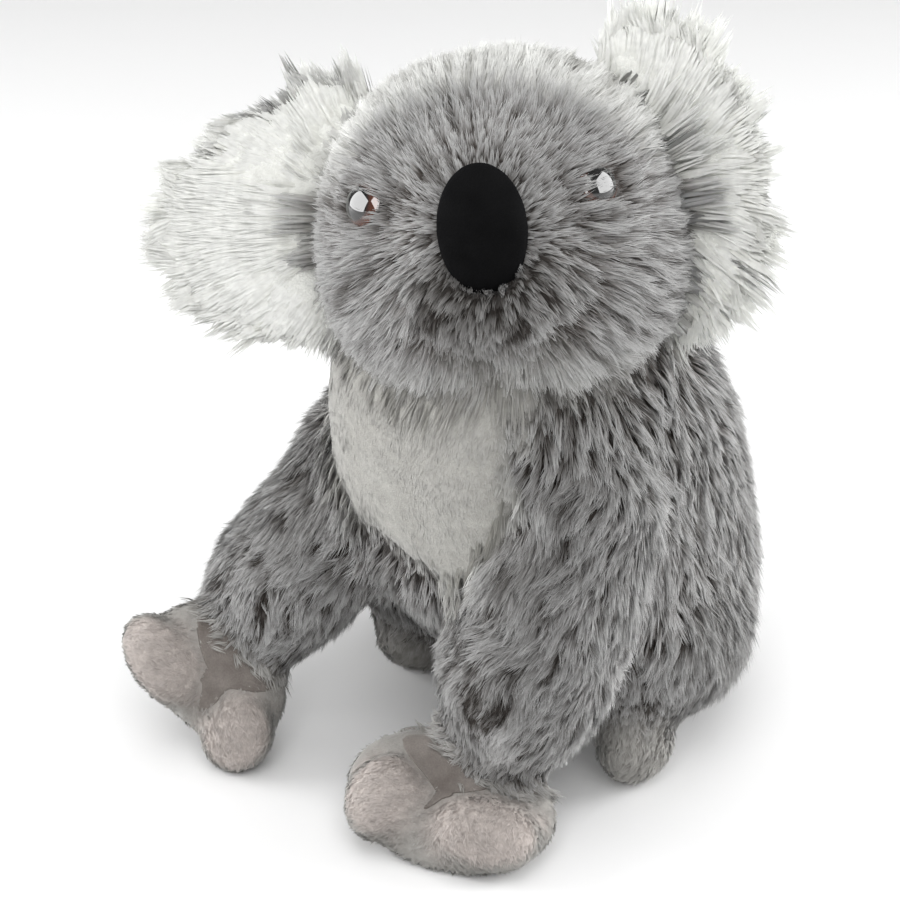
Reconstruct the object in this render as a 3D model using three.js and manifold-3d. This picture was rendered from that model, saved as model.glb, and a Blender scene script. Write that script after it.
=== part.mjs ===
// A stuffed koala toy, sitting on its rump with both front legs planted before it and its face
// turned up and to its left. Millimetres, +Z up, the toy faces -Y and its own left is +X.
// Every stuffed piece is a rounded form worked out from its radii, out to the tips of its pile.
// Neighbours are parted by a narrow seam, and what touches the floor ends in a small flat at z = 0.
import * as THREE from "three";
import { mergeVertices } from "three/addons/utils/BufferGeometryUtils.js";
import Module from "manifold-3d";

const wasm = await Module();
wasm.setup();

// ---------------------------------------------------------------- driving sizes

const SEAM = 0.35; // open seam between two neighbouring pieces
const SIDES = { left: 1, right: -1 };

const TRUNK = {
  at: [4, 13, 78],
  radii: [62, 61, 85],
  pear: 0.02, // share by which the rump is wider than the chest
  lean: -0.24, // forward lean for each millimetre of height
  fullness: 2.9, // 2 for a plain ellipse from top to bottom, more for fuller shoulders
  squareness: 2.35, // 2 for a plain ellipse seen from above, more for fuller corners
  tuck: 0.6, // share by which the belly is drawn in at the floor, between the feet
};
const BIB = {
  edges: { left: 38, right: -54 },
  shoulders: { left: 112, right: 100 },
  top: 160,
  waist: [-4, 84.5],
  tip: [19, 65],
  backY: -14,
};

const HEAD = { at: [3, -8, 173.3], yaw: 34, tip: -21, roll: -8, radii: [52.5, 50, 53] };
const MUZZLE = { at: [0, -30, -11], radii: [28, 26, 21] };
const NOSE = { at: [0.5, -52, 4], radii: [12.5, 8, 18] };
const EYE = { out: { left: 29.4, right: 31.6 }, front: -36, up: 12, radius: 6.2, socket: 3.5, socketWidth: 11 };

// Each ear is a fan of pile: how far it reaches out, up and forward from its root on the head.
const EARS = {
  left: { root: [42, 8, 11], reach: [38, 9, 47], sweep: -25, droop: -7 },
  right: { root: [-43, 6, 9], reach: [59, 9, 41], sweep: 12, droop: -4 },
};
const EAR_LOCKS = 13; // pointed locks round an ear's edge
const EAR_LOCK_DEPTH = 0.055; // their depth, as a share of the ear's reach

// Stations down a limb: [x, y, z, half width across, half depth].
const ARMS = {
  left: [
    [43, -5, 130, 24, 22],
    [45, -20, 108, 25.5, 26],
    [44, -31, 78, 25.5, 26],
    [36, -36.5, 48, 29.5, 26],
    [31, -41.5, 18, 28, 22],
  ],
  right: [
    [-44.5, 8, 105, 20, 20],
    [-45, -12, 90, 22.5, 23],
    [-42, -28.5, 73, 25.5, 23.5],
    [-52, -44.5, 51, 28, 23],
    [-67, -60, 27, 33, 21],
  ],
};
const LEGS = {
  left: { at: [43.5, 17.5, 45], radii: [29, 35, 37], turn: [0, 0, -8] },
  right: { at: [-41, 14, 43], radii: [29, 36, 37], turn: [0, 0, 8] },
};
const FEET = {
  left: { at: [52, 1, 16], radii: [12.5, 16, 17], turn: [0, 0, 12] },
  right: { at: [-38.5, 2.5, 13.5], radii: [16, 17, 14.5], turn: [0, 0, -12] },
};

// A front paw is a mitten: a palm that faces one way and points another, with two curled lobes.
const PAWS = {
  left: {
    at: [30.4, -60.7, 14.1],
    faces: [0.3, -0.48, 0.82],
    points: [0.35, -0.9, -0.3],
    palm: [33, 21.5], // half width and half length
  },
  right: {
    at: [-57.6, -72.6, 24.9],
    faces: [0.55, -0.68, 0.48],
    points: [-0.23, -0.84, -0.51],
    palm: [25.5, 18.5],
  },
};
const PALM = { thickness: 11, cup: 3 };
const FINGERS = { at: [14, -8.5, 6], radii: [17.5, 11.5, 9.5], turn: [20, 0, 8] };
const THUMB = { at: [-18, -6.8, 6], radii: [12, 14, 9.5], turn: [20, 0, -20] };

const MATERIALS = {
  grey_plush: { color: 0x8d8a8b, roughness: 0.95, metalness: 0 },
  white_plush: { color: 0xf0efea, roughness: 0.95, metalness: 0 },
  taupe_plush: { color: 0x8b807c, roughness: 0.95, metalness: 0 },
  sole_suede: { color: 0x6a5f5b, roughness: 0.9, metalness: 0 },
  nose_velvet: { color: 0x0b0b0c, roughness: 0.9, metalness: 0 },
  eye_plastic: { color: 0x120c0a, roughness: 0.08, metalness: 0 },
};

// ---------------------------------------------------------------- forms

const rad = THREE.MathUtils.degToRad;
const vector = (values) => new THREE.Vector3(...values);

/** A bell curve: 1 where distance is 0, falling off over width. */
const bell = (distance, width) => Math.exp(-((distance / width) ** 2));

/** How far the edge of a squared-off circle lies from its centre at an angle; 1 on its axes. */
const superellipse = (angle, power) =>
  (Math.abs(Math.cos(angle)) ** power + Math.abs(Math.sin(angle)) ** power) ** (-1 / power);

/** A closed geometry, put in its place by matrix, as a manifold solid. */
function solidOf(geometry, matrix = new THREE.Matrix4()) {
  const bare = new THREE.BufferGeometry();
  bare.setAttribute("position", geometry.getAttribute("position").clone());
  bare.setIndex(geometry.getIndex());
  bare.applyMatrix4(matrix);
  const merged = mergeVertices(bare, 1e-3);
  const corners = merged.index.array;
  const triangles = [];
  for (let i = 0; i < corners.length; i += 3) {
    const [a, b, c] = corners.subarray(i, i + 3);
    if (a !== b && b !== c && c !== a) triangles.push(a, b, c);
  }
  return new wasm.Manifold(
    new wasm.Mesh({
      numProp: 3,
      vertProperties: merged.attributes.position.array,
      triVerts: new Uint32Array(triangles),
    }),
  );
}

/** The matrix that puts a form at a place, turned by degrees about X, then Y, then Z. */
function placed(at, turn = [0, 0, 0]) {
  const spin = new THREE.Quaternion().setFromEuler(new THREE.Euler(...turn.map(rad), "ZYX"));
  return new THREE.Matrix4().compose(vector(at), spin, vector([1, 1, 1]));
}

/** The matrix that puts a form at a place, its +Z facing one way and its -Y pointing another. */
function aimed(at, faces, points) {
  const z = vector(faces).normalize();
  const x = vector(points).negate().cross(z).normalize();
  const y = new THREE.Vector3().crossVectors(z, x);
  return new THREE.Matrix4().makeBasis(x, y, z).setPosition(...at);
}

/**
 * A rounded form: a unit sphere whose point d goes to (radii + grow) * d, then through mould.
 * Its poles lie on the local Z axis, or on Y where it is a fan.
 */
function form({ radii, around = 24, rows = 14, fan = false, mould, matrix }, grow) {
  const sphere = new THREE.SphereGeometry(1, around, rows);
  if (!fan) sphere.rotateX(Math.PI / 2);
  const place = sphere.attributes.position;
  const point = new THREE.Vector3();
  for (let i = 0; i < place.count; i++) {
    const direction = new THREE.Vector3().fromBufferAttribute(place, i);
    point.set(...radii).addScalar(grow).multiply(direction);
    if (mould) mould(point, direction);
    place.setXYZ(i, ...point);
  }
  return solidOf(sphere, matrix);
}

/**
 * A stuffed limb: a lathe with full rounded ends whose axis is bent along a smooth curve through
 * the stations, with each section widened to the sizes that the stations give there.
 */
function limb({ stations, around = 20, rows = 14 }, grow) {
  const curve = new THREE.CatmullRomCurve3(stations.map(([x, y, z]) => vector([x, y, z])));
  const widths = new THREE.CatmullRomCurve3(stations.map(([, , , w, d]) => vector([w, d, 0])));
  const profile = Array.from({ length: rows + 1 }, (_, i) => {
    const turn = (Math.PI * i) / rows;
    return new THREE.Vector2(i % rows ? Math.sin(turn) ** 0.5 : 0, (1 - Math.cos(turn)) / 2);
  });
  const lathe = new THREE.LatheGeometry(profile, around);
  const place = lathe.attributes.position;
  const across = vector([1, 0, 0]);
  for (let i = 0; i < place.count; i++) {
    const along = THREE.MathUtils.clamp(place.getY(i), 0, 1);
    const tangent = curve.getTangent(along);
    const depth = new THREE.Vector3().crossVectors(across, tangent).normalize();
    const width = new THREE.Vector3().crossVectors(tangent, depth);
    const size = widths.getPoint(along).addScalar(grow);
    const point = curve.getPoint(along);
    point.addScaledVector(width, place.getX(i) * size.x);
    point.addScaledVector(depth, place.getZ(i) * size.y);
    place.setXYZ(i, ...point);
  }
  return solidOf(lathe);
}

/** A box from its lowest to its highest corner. */
function block(low, high) {
  const size = vector(high).sub(vector(low));
  const middle = vector(low).addScaledVector(size, 0.5);
  return solidOf(new THREE.BoxGeometry(...size), placed(middle.toArray()));
}

// ---------------------------------------------------------------- the pieces

const headFrame = new THREE.Matrix4().compose(
  vector(HEAD.at),
  new THREE.Quaternion().setFromEuler(
    new THREE.Euler(rad(HEAD.tip), rad(HEAD.roll), rad(HEAD.yaw), "ZXY"),
  ),
  vector([1, 1, 1]),
);
const onHead = (at, turn) => headFrame.clone().multiply(placed(at, turn));

/** The trunk: an egg that widens towards the rump, leans forward as it rises and is tucked in below. */
function trunk(grow) {
  const mould = (point, { x, y, z }) => {
    const ring = Math.sqrt(1 - z * z) || 1;
    const full = (1 - Math.abs(z) ** TRUNK.fullness) ** (1 / TRUNK.fullness);
    const corner = superellipse(Math.atan2(y, x), TRUNK.squareness);
    const swell = (1 - TRUNK.pear * z) * corner * (full / ring);
    const tuck = 1 - TRUNK.tuck * Math.max(0, -z) ** 2 * Math.max(0, -y / ring);
    point.x *= swell;
    point.y = point.y * swell * tuck + TRUNK.lean * point.z;
  };
  return form({ ...TRUNK, around: 28, rows: 14, mould, matrix: placed(TRUNK.at) }, grow);
}

/**
 * The bib: the front of the trunk inside a shield, straight above the shoulders, that comes to a
 * point below its waist, to the left of the middle.
 */
function bib(grow) {
  const { edges, shoulders, top, waist, tip, backY } = BIB;
  const [left, right] = [edges.left + grow, edges.right - grow];
  const [tipX, tipZ, waistZ] = [tip[0], tip[1] - grow, waist[1] - grow];
  const shield = new THREE.Shape();
  shield.moveTo(right, top);
  shield.lineTo(right, shoulders.right);
  shield.quadraticCurveTo(right * 0.7, waistZ, waist[0], waistZ);
  shield.quadraticCurveTo(tipX * 0.6, waistZ, tipX, tipZ);
  shield.quadraticCurveTo(left, (tipZ + shoulders.left) / 2, left, shoulders.left);
  shield.lineTo(left, top);
  const wedge = new THREE.ExtrudeGeometry(shield, { depth: 120, bevelEnabled: false, curveSegments: 7 });
  wedge.rotateX(Math.PI / 2);
  return trunk(grow / 2).intersect(solidOf(wedge, placed([0, backY + grow, 0])));
}

/** The head: broad in the cheeks and flat on the crown, dented a little where the eyes sit. */
function head(grow) {
  const mould = (point, direction) => {
    const square = (v) => Math.sign(v) * Math.abs(v) ** 0.9;
    point.x *= square(direction.x) / (direction.x || 1);
    point.z *= square(direction.z) / (direction.z || 1);
    point.x *= 1 + 0.06 * bell(direction.z + 0.35, 0.5);
    for (const side of Object.keys(SIDES)) {
      const eye = vector([SIDES[side] * EYE.out[side], EYE.front, EYE.up]);
      const dent = EYE.socket * bell(point.distanceTo(eye), EYE.socketWidth);
      point.addScaledVector(direction, -dent);
    }
  };
  return form({ ...HEAD, around: 28, rows: 18, mould, matrix: headFrame }, grow);
}

/** An ear: a thin fan of pile whose edge breaks into pointed locks. */
function ear(side, grow) {
  const { root, reach, sweep, droop } = EARS[side];
  const [outward, thick, upward] = reach;
  const mould = (point, direction) => {
    const angle = Math.atan2(direction.z, direction.x * SIDES[side]);
    const edge = Math.hypot(direction.x, direction.z) ** 3;
    const saw = Math.abs(((angle * EAR_LOCKS) / Math.PI + 40) % 2 - 1) - 0.5;
    const spread = 1 + 2 * EAR_LOCK_DEPTH * saw * edge;
    point.x *= spread * (direction.x * SIDES[side] < 0 ? 0.4 : 1);
    point.z *= spread;
  };
  const radii = [outward, thick, upward];
  return form({ radii, around: 52, rows: 8, fan: true, mould, matrix: onHead(root, [0, droop, sweep]) }, grow);
}

/** An eye: a domed button. */
function eye(side, grow) {
  const { out, front, up, radius } = EYE;
  const matrix = onHead([SIDES[side] * out[side], front, up]);
  return form({ radii: [radius, radius, radius], around: 16, rows: 8, matrix }, grow);
}

/** A paw's lobe or palm, mirrored so that the thumb is always on the inner side. */
function pawPiece(side, { at, radii, turn = [0, 0, 0], cup = 0 }, grow, detail) {
  const mirror = SIDES[side];
  const local = placed([mirror * at[0], at[1], at[2]], [turn[0], mirror * turn[1], mirror * turn[2]]);
  const mould = (point, direction) => {
    if (direction.z > 0) point.z -= cup * bell(Math.hypot(direction.x, direction.y), 0.6);
  };
  const { at: place, faces, points } = PAWS[side];
  const matrix = aimed(place, faces, points).multiply(local);
  return form({ radii, mould, matrix, ...detail }, grow);
}

/** The palm pad of one paw. */
const palm = (side) => ({
  at: [0, 0, 0],
  radii: [...PAWS[side].palm, PALM.thickness],
  cup: PALM.cup,
});

// Earlier pieces keep their whole shape, and later ones are cut back from them.
const pieces = [];
const piece = (name, material, make) => pieces.push({ name, material, make });

piece("head", "grey_plush", head);
piece("bib", "white_plush", bib);
piece("trunk", "grey_plush", trunk);
piece("nose", "nose_velvet", (grow) =>
  form({ ...NOSE, around: 18, rows: 10, matrix: onHead(NOSE.at) }, grow),
);
piece("muzzle", "grey_plush", (grow) =>
  form({ ...MUZZLE, around: 20, rows: 12, matrix: onHead(MUZZLE.at) }, grow),
);
for (const side of Object.keys(SIDES)) {
  piece(`eye_${side}`, "eye_plastic", (grow) => eye(side, grow));
  piece(`ear_${side}`, "white_plush", (grow) => ear(side, grow));
  piece(`paw_${side}`, "sole_suede", (grow) =>
    pawPiece(side, palm(side), grow, { around: 20, rows: 8 }),
  );
  piece(`fingers_${side}`, "taupe_plush", (grow) =>
    pawPiece(side, FINGERS, grow, { around: 16, rows: 8 }),
  );
  piece(`thumb_${side}`, "taupe_plush", (grow) =>
    pawPiece(side, THUMB, grow, { around: 16, rows: 8 }),
  );
  piece(`arm_${side}`, "grey_plush", (grow) => limb({ stations: ARMS[side] }, grow));
  piece(`foot_${side}`, "taupe_plush", (grow) => {
    const { at, radii, turn } = FEET[side];
    return form({ radii, around: 16, rows: 9, matrix: placed(at, turn) }, grow);
  });
  piece(`leg_${side}`, "grey_plush", (grow) => {
    const { at, radii, turn } = LEGS[side];
    return form({ radii, around: 20, rows: 12, matrix: placed(at, turn) }, grow);
  });
}

// ---------------------------------------------------------------- cutting and assembly

const FLOOR = block([-400, -400, -200], [400, 400, 0]);

/** The largest body of a cut solid, without the slivers that a cut can leave. */
const largest = (solid) =>
  solid.decompose().reduce((best, body) => (body.volume() > best.volume() ? body : best));

/** A manifold solid as a three.js geometry. */
function geometryOf(solid) {
  const { vertProperties, triVerts } = solid.getMesh();
  const geometry = new THREE.BufferGeometry();
  geometry.setAttribute("position", new THREE.BufferAttribute(vertProperties, 3));
  geometry.setIndex(new THREE.BufferAttribute(triVerts, 1));
  geometry.computeVertexNormals();
  return geometry;
}

const toy = new THREE.Group();
const keepOut = [FLOOR];
for (const { name, material, make } of pieces) {
  const cut = keepOut.reduce((solid, other) => solid.subtract(other), make(0));
  const mesh = new THREE.Mesh(
    geometryOf(largest(cut)),
    new THREE.MeshStandardMaterial(MATERIALS[material]),
  );
  mesh.name = name;
  toy.add(mesh);
  keepOut.push(make(SEAM));
}

// The origin is on the floor, under the middle of the toy's box.
const middle = new THREE.Box3().setFromObject(toy).getCenter(new THREE.Vector3());
toy.position.set(-middle.x, -middle.y, 0);
const koala = new THREE.Group();
koala.name = "koala";
koala.add(toy);

export default koala;
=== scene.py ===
"""A stuffed koala toy, sitting on its rump with both front legs planted before it and its face turned
up and to its left. Metres, +Z up, the toy faces -Y and its own left is +X, and it rests on z = 0."""

import bpy
import numpy as np
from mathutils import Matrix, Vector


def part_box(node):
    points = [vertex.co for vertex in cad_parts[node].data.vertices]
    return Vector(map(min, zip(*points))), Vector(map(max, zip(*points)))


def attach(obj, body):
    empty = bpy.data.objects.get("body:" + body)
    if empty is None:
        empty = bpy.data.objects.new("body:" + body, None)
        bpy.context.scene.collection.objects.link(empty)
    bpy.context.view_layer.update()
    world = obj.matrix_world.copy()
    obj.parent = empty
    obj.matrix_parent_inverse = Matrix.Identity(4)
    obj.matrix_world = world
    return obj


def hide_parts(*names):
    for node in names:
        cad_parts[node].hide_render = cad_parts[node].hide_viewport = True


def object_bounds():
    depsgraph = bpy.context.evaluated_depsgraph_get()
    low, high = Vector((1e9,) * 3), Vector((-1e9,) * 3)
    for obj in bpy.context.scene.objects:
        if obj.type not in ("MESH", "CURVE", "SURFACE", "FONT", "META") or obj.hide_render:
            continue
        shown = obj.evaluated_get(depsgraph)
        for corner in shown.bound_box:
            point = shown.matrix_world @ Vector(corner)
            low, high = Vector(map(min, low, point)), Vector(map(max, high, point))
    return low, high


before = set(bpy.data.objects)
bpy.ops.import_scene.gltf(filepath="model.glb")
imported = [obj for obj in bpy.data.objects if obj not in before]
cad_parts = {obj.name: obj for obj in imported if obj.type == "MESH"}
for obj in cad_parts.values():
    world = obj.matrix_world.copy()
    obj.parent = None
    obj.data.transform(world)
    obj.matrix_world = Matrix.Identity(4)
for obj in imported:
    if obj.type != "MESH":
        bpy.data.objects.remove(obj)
cad_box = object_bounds()

# ---------------------------------------------------------------- the stuffed skin
# The body is sewn from panels of knitted cloth and blown full of polyester fibre. All its panels are one
# closed skin here, drawn in by the thickness of their pile, with a soft valley along each sewn joint.

SIDES = ("left", "right")
PAIRED = ("ear", "arm", "paw", "fingers", "thumb", "leg", "foot")
PANELS = ["head", "muzzle", "trunk", "bib"] + [f"{part}_{side}" for part in PAIRED for side in SIDES]
SEAM_CLOSING = 0.0006  # how far each panel swells to meet its neighbour
CLOTH_GRAIN = 0.0015  # spacing of the skin's own mesh
EAR_TRIM = 0.005  # how far an ear's hair stands past the edge of its cloth
MARKS = 14000  # points that tell which panel a place belongs to

# How far the cloth of each panel lies inside the tips of its pile.
PILE_DEPTH = {
    "head": 0.0036, "muzzle": 0.0016, "trunk": 0.0036, "bib": 0.0016, "ear": 0.0010, "arm": 0.0038,
    "paw": 0.0004, "fingers": 0.0010, "thumb": 0.0010, "leg": 0.0036, "foot": 0.0014,
}
# How far each panel's facets are rounded off: the share that a point moves to its neighbours' mean.
ROUNDING = {
    "head": 0.55, "muzzle": 0.4, "trunk": 0.55, "bib": 0.5, "ear": 0.3, "arm": 0.5,
    "paw": 0.14, "fingers": 0.14, "thumb": 0.14, "leg": 0.5, "foot": 0.3,
}


def unit(vectors):
    """Each vector divided by its own length."""
    return vectors / np.maximum(np.linalg.norm(vectors, axis=-1, keepdims=True), 1e-12)


def ramp(values, start, end):
    """0 up to start and 1 past end, with 3t^2 - 2t^3 between them."""
    t = np.clip((values - start) / (end - start), 0, 1)
    return t * t * (3 - 2 * t)


def numbers(items, key, kind, width=1):
    """One property of every item of a mesh as an array, a row for each item."""
    found = np.empty(len(items) * width, kind)
    items.foreach_get(key, found)
    return found.reshape(-1, width) if width > 1 else found


def node_surface(node):
    """A CAD node's points and triangles, its loose corners merged where they share a place."""
    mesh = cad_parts[node].data
    loose = numbers(mesh.vertices, "co", np.float32, 3).astype(float)
    cells = np.round(loose * 1e7).astype(np.int64)
    _, first, merged = np.unique(cells, axis=0, return_index=True, return_inverse=True)
    corners = numbers(mesh.loops, "vertex_index", np.int32)
    return loose[first], merged.ravel()[corners].reshape(-1, 3)


def outward_normals(points, triangles):
    """Each point's normal: the sum of the cross products of its triangles' sides, made one long."""
    a, b, c = (points[triangles[:, i]] for i in range(3))
    faces = np.cross(b - a, c - a)
    sums = [np.bincount(triangles.ravel(), np.repeat(faces[:, i], 3), len(points)) for i in range(3)]
    return unit(np.stack(sums, 1))


def placed(name, data):
    """A new object in the scene that holds a mesh, a light or a camera."""
    piece = bpy.data.objects.new(name, data)
    bpy.context.scene.collection.objects.link(piece)
    return piece


def new_piece(name, points, corners, sizes):
    """A smooth mesh object from points, its faces' corners in a row and each face's number of corners."""
    mesh = bpy.data.meshes.new(name)
    mesh.vertices.add(len(points))
    mesh.vertices.foreach_set("co", points.astype(np.float32).ravel())
    mesh.loops.add(len(corners))
    mesh.loops.foreach_set("vertex_index", corners.astype(np.int32))
    mesh.polygons.add(len(sizes))
    starts = np.concatenate([[0], np.cumsum(sizes)[:-1]])
    mesh.polygons.foreach_set("loop_start", starts.astype(np.int32))
    mesh.update(calc_edges=True)
    mesh.shade_smooth()
    return placed(name, mesh)


def remeshed(name, points, triangles, grain):
    """The one closed surface round overlapping closed ones, on a grid of the given grain."""
    rough = new_piece(name + "_rough", points, triangles.ravel(), np.full(len(triangles), 3))
    voxels = rough.modifiers.new("voxels", "REMESH")
    voxels.mode = "VOXEL"
    voxels.voxel_size = grain
    graph = bpy.context.evaluated_depsgraph_get()
    mesh = bpy.data.meshes.new_from_object(rough.evaluated_get(graph))
    bpy.data.objects.remove(rough)
    mesh.name = name
    mesh.shade_smooth()
    return placed(name, mesh)


def eased(values, edges, rounds, share):
    """Each row moved a share of the way to the mean of its neighbours' rows, round after round."""
    a, b = edges.T
    neighbours = np.bincount(edges.ravel(), minlength=len(values))[:, None]
    for _ in range(rounds):
        sums = [np.bincount(a, v[b], len(v)) + np.bincount(b, v[a], len(v)) for v in values.T]
        values = values + share * (np.stack(sums, 1) / neighbours - values)
    return values


def scattered(points, triangles, weight, count, rng):
    """Random places on triangles, as many to each as its area times its corners' mean weight asks:
    the triangle of each, and its three corner shares (1 - r, r (1 - s), r s with r a square root)."""
    a, b, c = (points[triangles[:, i]] for i in range(3))
    size = np.linalg.norm(np.cross(b - a, c - a), axis=1) * weight[triangles].mean(1)
    chosen = np.searchsorted(np.cumsum(size), rng.random(count) * size.sum())
    r, s = np.sqrt(rng.random(count)), rng.random(count)
    return triangles[np.minimum(chosen, len(triangles) - 1)], np.stack([1 - r, r * (1 - s), r * s], 1)


def at_places(values, corners, shares):
    """The values of three corners, mixed by their shares."""
    return np.einsum("nk,nkj->nj", shares, values[corners])


def nearest(places, marks):
    """The number of the mark nearest to each place: the least of m.m - 2 p.m over the marks. The places are
    taken in 80 runs, which keeps the table of products small."""
    lengths = (marks**2).sum(1).astype(np.float32)
    marks = marks.astype(np.float32)
    runs = np.array_split(places.astype(np.float32), 80)
    return np.concatenate([np.argmin(lengths - 2 * run @ marks.T, axis=1) for run in runs])


surfaces = {panel: node_surface(panel) for panel in PANELS}
swollen, solids, offset = [], [], 0
for panel_points, panel_triangles in surfaces.values():
    swollen.append(panel_points + SEAM_CLOSING * outward_normals(panel_points, panel_triangles))
    solids.append(panel_triangles + offset)
    offset += len(panel_points)
skin = remeshed("skin", np.concatenate(swollen), np.concatenate(solids), CLOTH_GRAIN)
skin_edges = numbers(skin.data.edges, "vertices", np.int32, 2)
skin.data.calc_loop_triangles()
skin_triangles = numbers(skin.data.loop_triangles, "vertices", np.int32, 3)
places = numbers(skin.data.vertices, "co", np.float32, 3).astype(float)

# Each place on the skin belongs to the panel whose surface is nearest, and to both across a joint.
cad_points, cad_triangles = np.concatenate(swollen), np.concatenate(solids)
panel_of_point = np.repeat(np.arange(len(PANELS)), [len(p) for p, _ in surfaces.values()])
mark_corners, mark_shares = scattered(
    cad_points, cad_triangles, np.ones(len(cad_points)), MARKS, np.random.default_rng(1)
)
marks = at_places(cad_points, mark_corners, mark_shares)
owner = panel_of_point[mark_corners[:, 0]][nearest(places, marks)]
shares = eased(np.eye(len(PANELS))[owner], skin_edges, 10, 0.5)
share = dict(zip(PANELS, shares.T))
kinds = [panel.split("_")[0] for panel in PANELS]

rounding = shares @ np.array([ROUNDING[kind] for kind in kinds])
places = eased(places, skin_edges, 22, rounding[:, None])
outward = outward_normals(places, skin_triangles)

# The head's own axes: to its left, ahead and up, from its middle, its nose and its eyes.


def middle(node):
    """The middle of a CAD node's box."""
    low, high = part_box(node)
    return (np.array(low) + np.array(high)) / 2


def ball_of(node):
    """The centre and radius of the ball that a node's outer half lies on, by least squares of
    p.p = 2 c.p + (r.r - c.c)."""
    points, _ = node_surface(node)
    reach = np.linalg.norm(points - middle("head"), axis=1)
    dome = points[reach > np.median(reach)]
    system = np.column_stack([2 * dome, np.ones(len(dome))])
    found = np.linalg.lstsq(system, (dome**2).sum(1), rcond=None)[0]
    return found[:3], np.sqrt(found[3] + found[:3] @ found[:3])


head_middle, nose_middle = middle("head"), middle("nose")
eye_balls = {side: ball_of(f"eye_{side}") for side in SIDES}
head_left = unit(eye_balls["left"][0] - eye_balls["right"][0])
ahead = nose_middle - head_middle
head_ahead = unit(ahead - head_left * (ahead @ head_left))
head_axes = np.stack([head_left, head_ahead, np.cross(head_ahead, head_left)])
on_head = (places - head_middle) @ head_axes.T
from_nose = np.arccos(np.clip(unit(on_head)[:, 1], -1, 1))  # angle from the head's own axis ahead
NOSE_HALVES = [0.0125, 0.012, 0.018]  # about half the nose's width, depth and height
nose_gap = np.linalg.norm((places - nose_middle) @ head_axes.T / NOSE_HALVES, axis=1)
eye_gap = np.min([np.linalg.norm(places - eye_balls[side][0], axis=1) for side in SIDES], axis=0)

# The pile is sheared short round the nose and the eyes, so the cloth lies closer to its tips there.
sheared = ramp(nose_gap, 1.0, 2.6) * (0.45 + 0.55 * ramp(eye_gap, 0.008, 0.017))
depth = shares @ np.array([PILE_DEPTH[kind] for kind in kinds])
on_face = share["head"] + share["muzzle"]
depth = depth * (1 - on_face * (1 - (0.25 + 0.75 * sheared)))
places = places - depth[:, None] * outward

# The cloth of an ear ends inside its long hair, which fans out from a point within the head: the cloth
# is drawn in towards that point, more the further it lies from where the ear is sewn on. That is taken
# as the middle of the eighth of the ear's points that lie nearest to the head.
ears = {}
for side in SIDES:
    ear_points, _ = surfaces[f"ear_{side}"]
    to_head = np.linalg.norm(ear_points - head_middle, axis=1)
    sewn_on = ear_points[np.argsort(to_head)[: len(ear_points) // 8]].mean(0)
    fan_point = 0.7 * sewn_on + 0.3 * head_middle
    ear_axes = np.linalg.svd(ear_points - ear_points.mean(0), full_matrices=False)[2]
    ears[side] = (sewn_on, fan_point, ear_axes)
    drawn_in = EAR_TRIM * ramp(np.linalg.norm(places - sewn_on, axis=1), 0.006, 0.036)
    places = places - (drawn_in * share[f"ear_{side}"])[:, None] * unit(places - fan_point)

places[:, 2] = np.maximum(places[:, 2], 0.0002)
places = eased(places, skin_edges, 3, 0.4)
skin.data.vertices.foreach_set("co", places.astype(np.float32).ravel())
skin.data.update()
outward = outward_normals(places, skin_triangles)

# ---------------------------------------------------------------- the lie, the dye and the painted shade and light of the pile
# Plush is woven with its pile leaning one way, and each panel is cut so that it runs away from the nose,
# down the body and out to the paws. Its fibres are dark at the foot and frosted silver at the tip.


def waves(values, size, seed, count=9):
    """Soft wandering numbers, mostly within 1 of 0: a sum of sine waves about size long."""
    rng = np.random.default_rng(seed)
    spin = unit(rng.normal(size=(count, 3))) * rng.uniform(0.7, 1.5, (count, 1)) * 2 * np.pi / size
    return np.sin(values @ spin.T + rng.uniform(0, 2 * np.pi, count)).sum(1) / np.sqrt(count)


def turned(vectors, axes, angles):
    """Vectors turned about axes that they are square to: v cos a + (axis x v) sin a."""
    return vectors * np.cos(angles)[:, None] + np.cross(axes, vectors) * np.sin(angles)[:, None]


DOWN = np.array([0.0, 0.0, -1.0])
# How far the lie wanders in each kind of panel, in degrees.
WANDER = {
    "head": 7, "muzzle": 7, "trunk": 16, "bib": 6, "ear": 9, "arm": 26,
    "paw": 20, "fingers": 25, "thumb": 25, "leg": 22, "foot": 25,
}
radial = places * [1, 1, 0] - middle("trunk") * [1, 1, 0]
leans = {"trunk": DOWN + 6 * radial * np.abs(outward[:, 2:]), "bib": DOWN}
head_back = ramp(from_nose, 1.5, 2.4)[:, None]
leans["head"] = unit(places - nose_middle) * (1 - head_back) + DOWN * head_back
leans["muzzle"] = leans["head"]
for side in SIDES:
    paw, foot = middle(f"paw_{side}"), middle(f"foot_{side}")
    down_the_arm = unit(paw - middle(f"arm_{side}"))
    leans[f"arm_{side}"] = unit(paw + 0.06 * down_the_arm - places)
    leans[f"leg_{side}"] = unit(foot - places) + 0.4 * DOWN
    leans[f"foot_{side}"] = places - (foot + [0, 0.012, 0.008])
    leans[f"ear_{side}"] = unit(places - ears[side][1])
    for lobe in ("paw", "fingers", "thumb"):
        leans[f"{lobe}_{side}"] = unit(places - paw) + 0.5 * down_the_arm
lie = sum(share[panel][:, None] * unit(leans[panel]) for panel in PANELS)


def along_cloth(vectors, normals):
    """Vectors laid flat on the cloth: v - n (n.v), made one long."""
    return unit(vectors - normals * (vectors * normals).sum(1, keepdims=True))


lie = along_cloth(eased(along_cloth(lie, outward), skin_edges, 8, 0.5), outward)
wander = np.radians(shares @ np.array([float(WANDER[kind]) for kind in kinds]))
lie = turned(lie, outward, wander * waves(places, 0.026, 2))
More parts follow.
